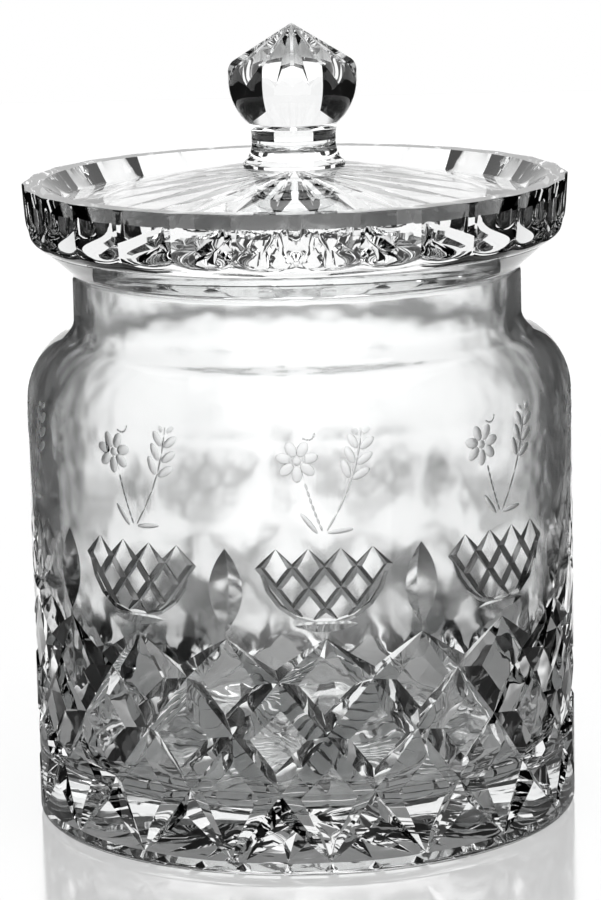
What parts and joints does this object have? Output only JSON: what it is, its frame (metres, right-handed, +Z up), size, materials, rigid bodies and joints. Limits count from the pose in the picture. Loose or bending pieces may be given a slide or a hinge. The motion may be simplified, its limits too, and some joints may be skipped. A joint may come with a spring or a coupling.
{
  "type": "biscuit jar",
  "caption": "Round clear glass jar with a flared neck, deep diamond cutting low on its wall, and a dished lid with a pointed knob.",
  "frame": {"origin": "middle of the circle that the jar stands on, at the base", "axes": "+Z up along the jar's own axis of turning, through the knob's tip; -Y faces the viewer of the picture, +X to the viewer's right"},
  "size_m": [0.126, 0.126, 0.1829],
  "materials": {
    "jar_glass": "clear polished cut glass with matt wheel engraving",
    "lid_glass": "clear polished cut glass"
  },
  "bodies": {
    "jar": {"jar_body": "jar_glass"},
    "lid": {"lid_dish": "lid_glass", "lid_knob": "lid_glass"}
  },
  "joints": [
    {"name": "lid_lift", "type": "slide", "parent": "jar", "child": "lid", "axis": [0, 0, 1], "range_m": [0, 0.12]}
  ]
}
